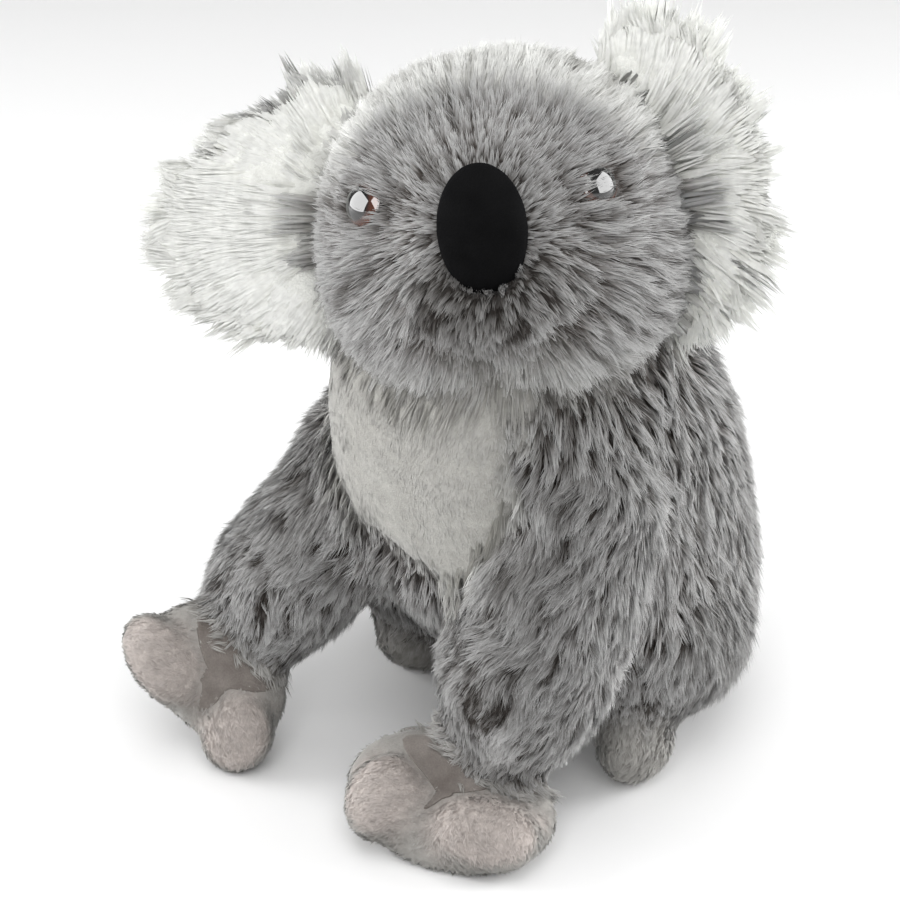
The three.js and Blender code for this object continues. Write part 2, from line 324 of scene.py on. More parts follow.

# The dye of each place: how white, how taupe and how rosy its panel is, and how dark or light it is, by its
# tone and by painted shade and painted light.
# On the head it is paler in a ring from ear to ear over the crown, and a little paler on the chin.
white = share["bib"].copy()
crown = ramp(on_head[:, 2], 0.014, 0.034)
pale_ring = ramp(from_nose + 0.20 * crown, 0.88, 1.14) * ramp(-from_nose, -2.3, -1.9)
pale_ring *= 0.78 * ramp(on_head[:, 2], 0.008, 0.032)
chin = ramp(-on_head[:, 2], 0.028, 0.040) * ramp(-from_nose, -1.6, -1.1)
white += on_face * (pale_ring + 0.25 * chin)

# The ears' hair is white in front, and frosted grey behind and along one upper edge.
FROSTED_EDGE = {"left": 0.60, "right": 0.15}  # how squarely an ear's cloth faces back where its hair is grey
FROSTED_TOP = {"left": 0.0, "right": 0.9}  # how grey an ear's upper edge is beside the head
ear_back = {}
for side in SIDES:
    sewn_on, _, ear_axes = ears[side]
    thickness = ear_axes[2] * np.sign(ear_axes[2] @ head_ahead)
    away = np.linalg.norm(places - sewn_on, axis=1)
    edge = FROSTED_EDGE[side]
    behind = ramp(-outward @ thickness, edge, edge + 0.3) * ramp(-away, -0.026, -0.014)
    above = ramp((places - sewn_on) @ head_axes[2], 0.010, 0.020) * ramp(-away, -0.036, -0.026)
    above *= ramp(-outward @ thickness, -0.80, -0.40)
    ear_back[side] = np.maximum(behind, FROSTED_TOP[side] * above)
    white += share[f"ear_{side}"] * (1 - ear_back[side])
ear_share = share["ear_left"] + share["ear_right"]

# A palm faces along its node's thinnest way, upwards and to the front.
palm_axes, palm_side = {}, 0
for side in SIDES:
    paw_points, _ = surfaces[f"paw_{side}"]
    wide, long, thin = np.linalg.svd(paw_points - paw_points.mean(0), full_matrices=False)[2]
    thin = thin * np.sign(thin @ [0, -0.5, 0.8])
    palm_axes[side] = np.stack([wide, long, thin])
    paw_share = share[f"paw_{side}"] + share[f"fingers_{side}"] + share[f"thumb_{side}"]
    palm_side = palm_side + paw_share * ramp(outward @ thin, 0.1, 0.7)
lobes = sum(share[f"{part}_{side}"] for part in ("fingers", "thumb") for side in SIDES)
palms = share["paw_left"] + share["paw_right"]
taupe = palms + lobes + share["foot_left"] + share["foot_right"]
rosy = lobes * palm_side**2
# Painted shade in the crease where each palm meets its lobes.
painted_crease_shade = 4 * palms * lobes

# It is darker round the nose and eyes, on the mouth and chin and up the limbs, and lighter on the ears and
# the hind feet. Painted shade darkens the neck under the head, the creases of the palms, the belly between
# the legs and the bib, and a painted highlight lightens the outer sides of the arms.
mouth = on_face * ramp(-nose_gap, -2.6, -1.3) * ramp(-on_head[:, 2], -0.002, 0.014)
nose_rim = on_face * ramp(-nose_gap, -1.5, -1.0)
eye_rim = on_face * ramp(-eye_gap, -0.0105, -0.0065)
breast = share["trunk"] + share["bib"]
# Painted shade on the neck: where the head meets the breast, and on the breast close under the head.
painted_neck_shade = 4 * on_face * breast + breast * ramp(-np.linalg.norm(places - head_middle, axis=1), -0.060, -0.046)
# Painted shade on the belly and haunches low between the legs, away from the bib and the front legs.
painted_shade_between_legs = ramp(-places[:, 2], -0.060, -0.040) * ramp(-outward[:, 1], -0.2, 0.4) * (1 - share["bib"])
painted_shade_between_legs *= ramp(places[:, 0], -0.062, -0.040) * ramp(-places[:, 0], -0.040, -0.015)
painted_shade_between_legs *= 1 - sum(share[f"{part}_{side}"] for part in ("arm", "paw", "fingers", "thumb") for side in SIDES)
from_paw = np.min([np.linalg.norm(places - middle(f"paw_{side}"), axis=1) for side in SIDES], axis=0)
# Painted highlight along the outer side of each arm, as if its edge caught the side light.
painted_arm_edge_light = 0
for side, turn in zip(SIDES, (1, -1)):
    painted_arm_edge_light = painted_arm_edge_light + share[f"arm_{side}"] * ramp(turn * outward[:, 0], 0.35, 0.9)
limbs = sum(share[f"{part}_{side}"] for part in ("arm", "leg") for side in SIDES)
feet = share["foot_left"] + share["foot_right"]
plain = share["bib"] + ear_share
light = 0.54 + (0.07 * waves(places, 0.030, 3) + 0.05 * waves(places, 0.011, 4)) * (1 - 0.7 * plain)
light -= 0.10 * chin + 0.38 * mouth + 0.08 * nose_rim + 0.36 * eye_rim + 0.16 * on_face * pale_ring
# Painted shade in the creases of the palms, on the neck under the head and low between the legs; the trunk is
# a little darker in tone.
light -= 0.12 * painted_crease_shade + 0.20 * painted_neck_shade + 0.36 * painted_shade_between_legs + 0.04 * share["trunk"]
light -= limbs * (0.07 + 0.17 * ramp(from_paw, 0.030, 0.055))
# Painted shade: the bib is darkened as if shaded under the head, and more on the toy's right side as if
# shaded by the arm.
light -= share["bib"] * (0.52 + 0.16 * ramp(-places[:, 0], 0.0, 0.030))
# The ears and hind feet are lighter in tone, and the outer sides of the arms get a painted highlight.
light += 0.06 * ear_share + 0.14 * feet + 0.14 * painted_arm_edge_light
dyes_and_painted_light = np.stack([np.clip(white, 0, 1), np.clip(taupe, 0, 1), np.clip(rosy, 0, 1), light], 1)


def put_attribute(piece, name, rows):
    """Three numbers for each point of a piece, under a name that its material reads."""
    rows = np.asarray(rows, np.float32)
    piece.data.attributes.new(name, "FLOAT_VECTOR", "POINT").data.foreach_set("vector", rows.ravel())


def add_node(tree, kind, **settings):
    """A new node with its settings made; input values are given as input_NAME."""
    node = tree.nodes.new("ShaderNode" + kind)
    for key, value in settings.items():
        if key.startswith("input_"):
            node.inputs[key[6:].replace("_", " ")].default_value = value
        else:
            setattr(node, key, value)
    return node


def colour_ramp(tree, factor, stops):
    """A colour that runs through the stops (place, (red, green, blue)) as the factor rises."""
    node = add_node(tree, "ValToRGB")
    elements = node.color_ramp.elements
    while len(elements) < len(stops):
        elements.new(0.5)
    for element, (at, colour) in zip(elements, stops):
        element.position = at
        element.color = (*colour, 1)
    tree.links.new(factor, node.inputs["Fac"])
    return node.outputs["Color"]


def mixed(tree, factor, first, second, how="MIX"):
    """Two colours mixed by a factor, which may be a socket or a number."""
    node = add_node(tree, "Mix", data_type="RGBA", blend_type=how)
    for socket, value in zip((node.inputs[0], node.inputs[6], node.inputs[7]), (factor, first, second)):
        if isinstance(value, bpy.types.NodeSocket):
            tree.links.new(value, socket)
        else:
            socket.default_value = value
    return node.outputs[2]


def new_finish(name):
    """A new material, with its node tree and its shader."""
    material = bpy.data.materials.new(name)
    material.use_nodes = True
    return material, material.node_tree, material.node_tree.nodes["Principled BSDF"]


def three_parts(tree, attribute):
    """The three numbers of an attribute, as sockets."""
    parts = add_node(tree, "SeparateXYZ")
    found = add_node(tree, "Attribute", attribute_name=attribute)
    tree.links.new(found.outputs["Vector"], parts.inputs[0])
    return parts.outputs


def noise(tree, scale, detail):
    """A wandering number that keeps its place on the piece."""
    coordinates = add_node(tree, "TexCoord")
    texture = add_node(tree, "TexNoise", input_Scale=scale, input_Detail=detail)
    tree.links.new(coordinates.outputs["Object"], texture.inputs["Vector"])
    return texture.outputs["Fac"]


def roughen(tree, height, strength, distance):
    """Tilt the shader's normal by a bump of the given height."""
    raised = add_node(tree, "Bump", input_Strength=strength, input_Distance=distance)
    tree.links.new(height, raised.inputs["Height"])
    tree.links.new(raised.outputs["Normal"], tree.nodes["Principled BSDF"].inputs["Normal"])


def plush_finish(name, bump):
    """Frosted plush: its colour runs from foot to tip of the pile through the ramp of its own dye, and
    is then lightened or darkened by its place, by its tone and by painted shade and painted light. With bump,
    the bare cloth also has a knitted grain."""
    material, tree, shader = new_finish(name)
    up_the_pile, lightness, _ = three_parts(tree, "pile")
    whiteness, taupeness, rosiness = three_parts(tree, "dye")
    frosted = colour_ramp(tree, up_the_pile, GREY_PILE)
    snowy = colour_ramp(tree, up_the_pile, WHITE_PILE)
    muddy = colour_ramp(tree, up_the_pile, TAUPE_PILE)
    blushing = colour_ramp(tree, up_the_pile, ROSY_PILE)
    colour = mixed(tree, whiteness, frosted, snowy)
    colour = mixed(tree, taupeness, colour, muddy)
    colour = mixed(tree, rosiness, colour, blushing)
    shades = [(0.0, (0.45, 0.44, 0.43)), (0.5, (0.95, 0.95, 0.95)), (1.0, (1.3, 1.3, 1.3))]
    colour = mixed(tree, 1.0, colour, colour_ramp(tree, lightness, shades), "MULTIPLY")
    flecks = [(0.3, (0.88, 0.88, 0.88)), (0.7, (1.06, 1.06, 1.06))]
    colour = mixed(tree, 1.0, colour, colour_ramp(tree, noise(tree, 420.0, 2.0), flecks), "MULTIPLY")
    tree.links.new(colour, shader.inputs["Base Color"])
    shader.inputs["Roughness"].default_value = 0.75
    shader.inputs["Specular IOR Level"].default_value = 0.1
    shader.inputs["Sheen Weight"].default_value = 0.4
    shader.inputs["Sheen Roughness"].default_value = 0.35
    if bump:
        roughen(tree, noise(tree, 1500.0, 3.0), 0.6, 0.0004)
    return material


GREY_PILE = [
    (0.0, (0.026, 0.020, 0.016)), (0.24, (0.046, 0.038, 0.033)), (0.42, (0.18, 0.172, 0.165)),
    (0.62, (0.31, 0.305, 0.30)), (0.82, (0.42, 0.42, 0.415)), (1.0, (0.52, 0.52, 0.515)),
]
WHITE_PILE = [(0.0, (0.76, 0.765, 0.71)), (0.5, (0.86, 0.865, 0.83)), (1.0, (0.92, 0.925, 0.90))]
TAUPE_PILE = [(0.0, (0.25, 0.235, 0.22)), (0.5, (0.34, 0.33, 0.31)), (1.0, (0.41, 0.40, 0.38))]
ROSY_PILE = [(0.0, (0.38, 0.335, 0.31)), (0.5, (0.50, 0.45, 0.42)), (1.0, (0.60, 0.55, 0.525))]
BARE_CLOTH = 0.34  # where the knitted backing stands on the ramp from foot to tip

cloth = plush_finish("knitted_backing", bump=True)
skin.data.materials.clear()
skin.data.materials.append(cloth)
put_attribute(skin, "pile", np.column_stack([np.full(len(places), BARE_CLOTH), dyes_and_painted_light[:, 3], dyes_and_painted_light[:, 3]]))
put_attribute(skin, "dye", dyes_and_painted_light[:, :3])
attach(skin, "root")
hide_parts(*PANELS)

# ---------------------------------------------------------------- the body's pile
# The back, flanks and haunches are covered in long frosted plush, about 12 mm of pile that leans down the
# body. Its fibres cling together in pointed locks, and the dark feet of the fibres show between them.

plush = plush_finish("plush_pile", bump=False)
fields = np.column_stack([places, outward, lie, dyes_and_painted_light])


def unwrapped(roots, centre, axis, count):
    """A patch for each root on an unwrap of the skin round an axis: the roots are dealt into columns by
    their longitude, and down each column by their height along the axis, so that no two share a patch."""
    axis = unit(np.array(axis, float))
    east = unit(np.cross(axis, [0.31, 0.17, 0.93]))
    flat = roots - centre
    longitude = np.arctan2(flat @ np.cross(axis, east), flat @ east)
    height = flat @ axis
    columns = int(np.ceil(np.sqrt(count)))
    rank = np.empty(count, int)
    rank[np.argsort(longitude, kind="stable")] = np.arange(count)
    column = rank * columns // count
    order = np.lexsort((height, column))
    first = np.searchsorted(column[order], np.arange(columns))
    row = np.empty(count, int)
    row[order] = np.arange(count) - first[column[order]]
    per_column = np.bincount(column, minlength=columns)[column]
    return np.column_stack([(column + 0.5) / columns, (row + 0.5) / per_column])


PATCH = 0.003  # most that a blade's patch is across on the map, which is 1 across
BLADE = (0.85, 1.0, 0.0)  # width of a blade at its foot, at each step up it and at its tip
LONG_BLADE = (0.8, 1.0, 0.8, 0.0)


def streaks(spots, along, size):
    """Soft wandering numbers drawn out along the lie: the mean of waves at seven steps along it, scaled
    up to reach about 1 again."""
    steps = np.linspace(-1.8, 1.8, 7) * size
    return 2.0 * np.mean([waves(spots + step * along, size, 7) for step in steps], 0)


def pile(name, area, blades, length, rise, ends, width, lock, stray, tufts, centre, axis, seed,
         gather=0.0010, drawn=0.5, widths=BLADE, uneven=0.14, tousle=5, frost=0.14, parting=0.5,
         softness=0.86, facing=outward):
    """Pile over an area of the skin, in locks of blades rooted at random where area is large.
    A blade steps along its lie, its climb easing from rise to ends degrees, and is drawn to the axis of
    its lock as the power 1.5 of its progress. stray is how many degrees the locks differ, and tousle the
    blades. tufts is the size of the tufts that locks gather in and the degrees that they turn: each turns
    by the slope of a streaked pattern across its lie, so that locks meet on its crests, which are lighter
    by frost, and part in its hollows, which show the dark lower share of the pile by parting, though locks
    fall over the middle of a wide hollow and fill it again. uneven is
    how much the locks differ in length, and softness how far a blade takes its light as a surface that
    lies square to facing. Any of length, rise, ends and parting may be an array, a number for each place."""
    rng = np.random.default_rng(seed)
    count = blades // lock
    blades = count * lock
    corners, weights = scattered(places, skin_triangles, area, count, rng)
    of_place = [np.broadcast_to(value, len(places)) for value in (length, rise, ends, parting)]
    found = at_places(np.column_stack([fields, facing, *of_place]), corners, weights)
    root, normal, lean, dye = found[:, :3], unit(found[:, 3:6]), found[:, 6:9], found[:, 9:13]
    lit_as, reach, parted = unit(found[:, 13:16]), found[:, 16], found[:, 19]
    climb, end = np.radians(found[:, 17]), np.radians(found[:, 18])
    lean = turned(along_cloth(lean, normal), normal, np.radians(stray) * rng.normal(size=count))
    side = np.cross(normal, lean)
    tuft_size, tuft_turn = tufts
    nudge = 0.05 * tuft_size * side
    crest = streaks(root, lean, tuft_size)
    wide_hollow = ramp(-crest, 0.85, 1.35)
    crest = np.clip(crest, -1.1, 1.4)
    slope = (streaks(root + nudge, lean, tuft_size) - streaks(root - nudge, lean, tuft_size)) / (0.1 * 6.3)
    slope = np.clip(slope, -1.2, 1.2)
    lock_light = 0.25 * frost * rng.normal(size=count) + frost * crest
    lock_shown = 1 - parted * ramp(-crest, 0.0, 0.9) * (1 - 0.6 * wide_hollow)
    lock_reach = reach * rng.uniform(1 - 2 * uneven, 1 + uneven * 0.4, count) * (1 + 0.08 * crest)
    lock_climb = climb * rng.uniform(0.8, 1.15, count) * (1 + 0.25 * crest)
    ruffle = np.radians(tousle)
    lock_ends = end + ruffle * rng.normal(size=count)
    lock_bend = np.radians(tuft_turn) * slope + np.radians(stray) * 0.6 * rng.normal(size=count)

    each = np.repeat(np.arange(count), lock)
    normal, lit_as, lean, side, dye = normal[each], lit_as[each], lean[each], side[each], dye[each]
    spread = gather * np.sqrt(rng.random(blades))
    spin = rng.uniform(0, 2 * np.pi, blades)
    along_off, side_off = (spread * turn(spin) for turn in (np.cos, np.sin))
    foot = root[each] + along_off[:, None] * lean + side_off[:, None] * side - 0.0003 * normal
    reach = lock_reach[each] * rng.uniform(0.80, 1.05, blades)
    lock_angles = (lock_climb, lock_ends, lock_bend)
    climb, settle, bend = (angle[each] + ruffle * rng.normal(size=blades) for angle in lock_angles)
    roll = np.radians(np.clip(4 * tousle * rng.normal(size=blades), -50, 50))
    breadth = width * rng.uniform(0.75, 1.2, blades)

    steps = len(widths) - 1
    station, rows, glows, progress, across = foot, [], [], [], []
    for step, share_wide in enumerate(widths):
        done = (min(step, steps - 1) + 0.5) / steps
        angle = climb + (settle - climb) * done
        heading = turned(lean, normal, bend * done)
        direction = heading * np.cos(angle)[:, None] + normal * np.sin(angle)[:, None]
        flat = np.cross(normal, heading)
        edge = flat * np.cos(roll)[:, None] + np.cross(direction, flat) * np.sin(roll)[:, None]
        blade_face = np.cross(direction, edge)
        same_side = np.where((lit_as * blade_face).sum(1) < 0, -1.0, 1.0)[:, None]
        glow = unit(softness * same_side * lit_as + (1 - softness) * blade_face)
        half = (0.5 * share_wide * breadth)[:, None] * edge
        for end in (-1, 1) if share_wide else (0,):
            rows.append(station + end * half)
            glows.append(glow)
            progress.append(step / steps)
            across.append(end)
        inward = 0.3 * along_off[:, None] * lean + side_off[:, None] * side
        pull = drawn * (((step + 1) / steps) ** 1.5 - (step / steps) ** 1.5)
        station = station + direction * (reach / steps)[:, None] - inward * pull
    points = np.stack(rows, 1)
    points[..., 2] = np.maximum(points[..., 2], 0.0003)
    per_blade = points.shape[1]

    quads = np.array([[2 * s + 1, 2 * s, 2 * s + 2, 2 * s + 3] for s in range(steps - 1)]).ravel()
    template = np.concatenate([quads, [2 * steps - 1, 2 * steps - 2, 2 * steps]])
    corners = (np.arange(blades)[:, None] * per_blade + template).ravel()
    sizes = np.tile([4] * (steps - 1) + [3], blades)
    piece = new_piece(name, points.reshape(-1, 3), corners, sizes)
    piece.data.normals_split_custom_set_from_vertices(np.stack(glows, 1).reshape(-1, 3))

    spots = unwrapped(foot, centre, axis, blades)
    patch = min(PATCH, 0.75 / np.ceil(np.sqrt(blades)))
    shape = np.column_stack([np.array(across) * 0.5 * patch, (np.array(progress) - 0.5) * patch])
    on_map = (spots[:, None] + shape).reshape(-1, 2)[corners]
    layer = piece.data.uv_layers.new(name="OFBake")
    layer.data.foreach_set("uv", on_map.astype(np.float32).ravel())

    # The lightness carries each place's tone with its painted shade and painted light, and each lock's frost.
    lightness = dye[:, 3] + lock_light[each] + 0.01 * rng.normal(size=blades)
    up = np.array(progress) * lock_shown[each][:, None]
    pale = np.repeat(lightness, per_blade)
    put_attribute(piece, "pile", np.column_stack([up.ravel(), pale, pale]))
    put_attribute(piece, "dye", np.repeat(dye[:, :3], per_blade, axis=0))
    piece.data.materials.append(plush)
    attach(piece, "root")
    return piece


trunk_middle = middle("trunk")
from_foot = np.min([np.linalg.norm(places - middle(f"foot_{side}"), axis=1) for side in SIDES], axis=0)
belly = ramp(-places[:, 2], -0.070, -0.045) * ramp(-outward[:, 1], 0.1, 0.5)
by_bib = ramp(eased(share["bib"][:, None], skin_edges, 40, 0.5)[:, 0], 0.0, 0.25)
trunk_length = 0.0118 * (1 - np.maximum(0.62 * belly, 0.55 * by_bib))
leg_length = 0.0045 + 0.0068 * ramp(from_foot, 0.018, 0.040)
for number, side in enumerate(SIDES):
    half = ramp((places[:, 0] - trunk_middle[0]) * (1, -1)[number], -0.0005, 0.0005)
    trunk_pile = pile(
        f"pile_trunk_{side}", share["trunk"] ** 2 * half, blades=46000, length=trunk_length, rise=36,
        ends=10, width=0.00034, lock=6, stray=8, tufts=(0.0066, 24), centre=trunk_middle, axis=(0, 0, 1),
        seed=11 + number, gather=0.0009, drawn=0.38, tousle=4, frost=0.17, parting=0.5,
    )
leg_pile = pile(
    "pile_legs", share["leg_left"] + share["leg_right"], blades=40000, length=leg_length, rise=40, ends=12,
    width=0.00034, lock=6, stray=10, tufts=(0.0060, 26), centre=trunk_middle, axis=(0, 0, 1), seed=13,
    gather=0.0009, drawn=0.4, tousle=4, frost=0.22, parting=0.75,
)

# ---------------------------------------------------------------- the bib's pile
# The breast is a shield of white plush, sheared short and dense so that it lies smooth.

bib_pile = pile(
    "pile_bib", share["bib"], blades=24000, length=0.0050, rise=6, ends=-1, width=0.00075, lock=2,
    stray=10, tufts=(0.008, 3), centre=middle("bib"), axis=(0, 0, 1), seed=21, drawn=0.1, uneven=0.05,
    tousle=1.5, frost=0.01, parting=0.0, softness=0.98,
)

# ---------------------------------------------------------------- the arms' pile
# The front legs wear the same long plush as the back, ruffled into tufts that point to the paws. It is
# trimmed shorter at the wrists, where it falls in a fringe over the soles.

for number, side in enumerate(SIDES):
    trimmed = 0.0070 + 0.0034 * ramp(from_paw, 0.028, 0.060)
    arm_pile = pile(
        f"pile_arm_{side}", share[f"arm_{side}"], blades=(62000, 52000)[number], length=trimmed, rise=44,
        ends=12, width=0.00032, lock=6, stray=11, tufts=(0.0056, 28), centre=middle(f"arm_{side}"),
        axis=middle(f"paw_{side}") - middle(f"arm_{side}"), seed=31 + number, gather=0.0009, drawn=0.4,
        tousle=4, frost=0.24, parting=0.88,
    )

# ---------------------------------------------------------------- the head's pile
# The face is finer plush, sheared shorter round the nose and growing longer outwards, combed away from
# the nose like the petals of a flower. It stands up round the nose and hides where that is sewn on.

bare_face = ramp(nose_gap, 0.72, 0.85)
under_chin = ramp(-on_head[:, 2], 0.028, 0.042) * ramp(from_nose, 1.15, 1.5)
brow = 0 * nose_gap
for eye_centre, eye_radius in eye_balls.values():
    inner = (eye_centre - places) @ unit(eye_centre - nose_middle)
    near = np.linalg.norm(places - eye_centre, axis=1) / eye_radius
    nose_side = ramp(inner, -0.0003, 0.0042)
    brow += nose_side * ramp(-near, -2.2, -1.5)
    bare_face *= ramp(near + 0.35 * nose_side, 0.95, 1.15)
face_length = (0.0058 + 0.0078 * np.maximum(sheared, 0.68 * brow)) * (1 - 0.60 * under_chin)
face_rise = 20 + 40 * ramp(-nose_gap, -1.30, -0.98) + 28 * brow
face_ends = 24 * brow
face_parting = 0.45 + 0.40 * mouth
front_of_head = ramp(-from_nose, -1.32, -1.28)
for number, part in enumerate(("face", "nape")):
    area = on_face * bare_face * (front_of_head if part == "face" else 1 - front_of_head)
    head_pile = pile(
        f"pile_{part}", area, blades=(64000, 33000)[number], length=face_length, rise=face_rise,
        ends=face_ends, width=0.00031, lock=6, stray=6, tufts=(0.0042, 18), centre=head_middle,
        axis=head_ahead, seed=41 + number, gather=0.0008, tousle=3.5, frost=0.17, parting=face_parting,
    )

# ---------------------------------------------------------------- the ears' hair
# Each ear is a flat padded disc with very long soft hair, white in front and frosted behind, brushed
# outwards until it stands past the cloth in ragged points.


def hair_to_rim(side, past):
    """How far it is from each place on an ear, along its lie, to a distance past the CAD ear's edge. The
    edge is the furthest point from the ear's middle in each of 60 sectors of its plane, and the way out
    is tried in steps of 0.5 mm."""
    ear_axes = ears[side][2]
    ear_points = surfaces[f"ear_{side}"][0]
    ear_middle = ear_points.mean(0)
    cad_ear = (ear_points - ear_middle) @ ear_axes[:2].T
    sectors = 60
    sector = ((np.arctan2(cad_ear[:, 1], cad_ear[:, 0]) / (2 * np.pi)) % 1 * sectors).astype(int)
    rim = np.zeros(sectors)
    np.maximum.at(rim, sector, np.linalg.norm(cad_ear, axis=1))
    tries = np.arange(0, 0.045, 0.0005)
    start = (places - ear_middle) @ ear_axes[:2].T
    way = lie @ ear_axes[:2].T
    spots = start[:, None] + way[:, None] * tries[:, None]
    angle = (np.arctan2(spots[..., 1], spots[..., 0]) / (2 * np.pi)) % 1 * sectors
    edge = np.interp(angle.ravel(), np.arange(sectors) + 0.5, rim, period=sectors).reshape(angle.shape)
    outside = np.linalg.norm(spots, axis=2) > edge + past
    outside[:, -1] = True
    return tries[outside.argmax(1)]


for number, side in enumerate(SIDES):
    sewn_on, fan_point, ear_axes = ears[side]
    by_head = ramp(-np.linalg.norm(places - sewn_on, axis=1), -0.030, -0.012)
    hair = np.clip(hair_to_rim(side, 0.0015), 0.0090 - 0.0040 * by_head, 0.018)
    hair = hair * (1 - ear_back[side]) + np.minimum(hair, 0.010) * ear_back[side]
    way_out = unit(along_cloth(places - fan_point, ear_axes[2]))
    steep = np.degrees(np.arcsin(np.clip((outward * way_out).sum(1), 0.02, 0.97)))
    stands = 3 + (steep - 3) * ramp(steep, 30, 70)
    flat_face = unit(outward + 2 * ear_axes[2] * np.sign(outward @ ear_axes[2])[:, None])
    ear_pile = pile(
        f"pile_ear_{side}", share[f"ear_{side}"], blades=20000, length=hair, rise=stands, ends=stands - 2,
        width=0.00080, lock=8, stray=4, tufts=(0.009, 8), centre=sewn_on, axis=ear_axes[2],
        seed=51 + number, gather=0.0022, drawn=0.45, widths=LONG_BLADE, uneven=0.12, tousle=1.0,
        frost=0.015, parting=0.05, softness=1.0, facing=flat_face,
    )

# ---------------------------------------------------------------- the paws' and feet's pile
# The curled fingers, thumbs and hind feet are short fluffy plush, rosy where the light pile is brushed up.

bare_palm = palms * palm_side
paw_pile = pile(
    "pile_paws", lobes + palms - bare_palm, blades=32000, length=0.0026, rise=34, ends=12, width=0.00034,
    lock=3, stray=18, tufts=(0.004, 20), centre=trunk_middle, axis=(0, 0, 1), seed=61, gather=0.0006,
    frost=0.04, parting=0.15, softness=0.92,
)
foot_pile = pile(
    "pile_feet", feet, blades=16000, length=0.0040, rise=36, ends=10, width=0.00036, lock=3, stray=18,
    tufts=(0.004, 20), centre=trunk_middle, axis=(0, 0, 1), seed=62, gather=0.0006, frost=0.06,
    parting=0.2, softness=0.90,
)

# ---------------------------------------------------------------- the soles
# Each front paw has a palm of thin brushed suede cloth, let into the plush between the curled lobes and
# sewn round its edge, which the stuffing draws tight over a shallow hollow.

SOLE_NAP = 0.0005  # how far the suede stands off the stuffed skin
SOLE_TUCK = 0.0014  # how deep its edge is drawn in at the seam
SOLE_CLOTH = 0.0008  # thickness of the suede
RINGS, SPOKES = 36, 96  # of points on each face of the suede


def squared_gaps(spots, others):
    """The square of the distance from each spot to each of the others: s.s + o.o - 2 s.o."""
    return (spots**2).sum(1)[:, None] + (others**2).sum(1) - 2 * spots @ others.T


def sole(name, side):
    """Suede over the palm, as rings round its middle out to the first place along each spoke that belongs
    to a lobe, the arm or the back of the paw. Each point is at the skin's height there, the mean of the
    skin's points near it weighed by exp(-(distance / grain)^2), plus the nap and less the tuck by the
    12th power of its way out. The under side lies a cloth's thickness lower and meets it at the edge."""
    axes, palm_middle = palm_axes[side], middle(f"paw_{side}")
    facing = (np.linalg.norm(places - palm_middle, axis=1) < 0.045) & (outward @ axes[2] > 0.05)
    skin_here = (places[facing] - palm_middle) @ axes.T
    on_palm = share[f"paw_{side}"][facing] > 0.5
    turn = np.arange(SPOKES) * 2 * np.pi / SPOKES
    way = np.stack([np.cos(turn), np.sin(turn)], 1)
    probe = np.arange(0.002, 0.038, 0.0008)
    spots = (way[:, None] * probe[:, None]).reshape(-1, 2)
    gaps = squared_gaps(spots, skin_here[:, :2])
    held = (on_palm[gaps.argmin(1)] & (gaps.min(1) < 0.0016**2)).reshape(SPOKES, -1)
    held[:, -1] = False
    reach = probe[np.maximum(held.argmin(1) - 1, 0)]
    for _ in range(4):
        reach = 0.5 * reach + 0.25 * (np.roll(reach, 1) + np.roll(reach, -1))
    out = np.arange(1, RINGS + 1) / RINGS
    rings = out[:, None, None] * (reach[:, None] * way)
    spots = np.concatenate([np.zeros((1, 2)), rings.reshape(-1, 2)])
    out = np.concatenate([[0.0], np.repeat(out, SPOKES)]) ** 12
    gaps = squared_gaps(spots, skin_here[:, :2])
    weights = np.exp(-gaps / 0.0014**2) + 1e-12
    height = weights @ skin_here[:, 2] / weights.sum(1) + SOLE_NAP - (SOLE_NAP + SOLE_TUCK) * out
    upper = np.column_stack([spots, height])
    lower = np.column_stack([spots, height - SOLE_CLOTH * (1 - out)])[: -SPOKES]
    points = np.concatenate([upper, lower]) @ axes + palm_middle
    handed = np.sign(np.linalg.det(axes))

    ring = np.arange(SPOKES)
    onward = (ring + 1) % SPOKES
    starts = 1 + np.arange(RINGS - 1)[:, None] * SPOKES
    fan = np.stack([np.zeros(SPOKES, int), 1 + ring, 1 + onward], 1)
    band = np.stack([starts + ring, starts + SPOKES + ring, starts + SPOKES + onward, starts + onward], 2)
    band = band.reshape(-1, 4)
    under = len(upper)
    under_band = band[: -SPOKES] + under
    edge_ring = 1 + (RINGS - 1) * SPOKES
    inner_ring = under + 1 + (RINGS - 2) * SPOKES
    hem = np.stack([inner_ring + ring, edge_ring + ring, edge_ring + onward, inner_ring + onward], 1)
    threes = np.concatenate([fan, fan[:, ::-1] + under])
    fours = np.concatenate([band, under_band[:, ::-1], hem[:, ::-1]])
    if handed < 0:
        threes, fours = threes[:, ::-1], fours[:, ::-1]
    sizes = np.concatenate([np.full(len(threes), 3), np.full(len(fours), 4)])
    return new_piece(name, points, np.concatenate([threes.ravel(), fours.ravel()]), sizes)


def napped_finish(name, stops, clouds, nap_scale, bump, roughness, specular, grain=None):
    """Cloth with a brushed nap: clouded between the stops where the nap lies this way and that, roughened
    by its fibres and, with a grain, flecked by them. clouds is the scale and the detail of the clouds."""
    material, tree, shader = new_finish(name)
    colour = colour_ramp(tree, noise(tree, *clouds), stops)
    nap = noise(tree, nap_scale, 3.0)
    if grain:
        colour = mixed(tree, 1.0, colour, colour_ramp(tree, nap, grain), "MULTIPLY")
    tree.links.new(colour, shader.inputs["Base Color"])
    roughen(tree, nap, bump, 0.0003)
    shader.inputs["Roughness"].default_value = roughness
    shader.inputs["Specular IOR Level"].default_value = specular
    return material


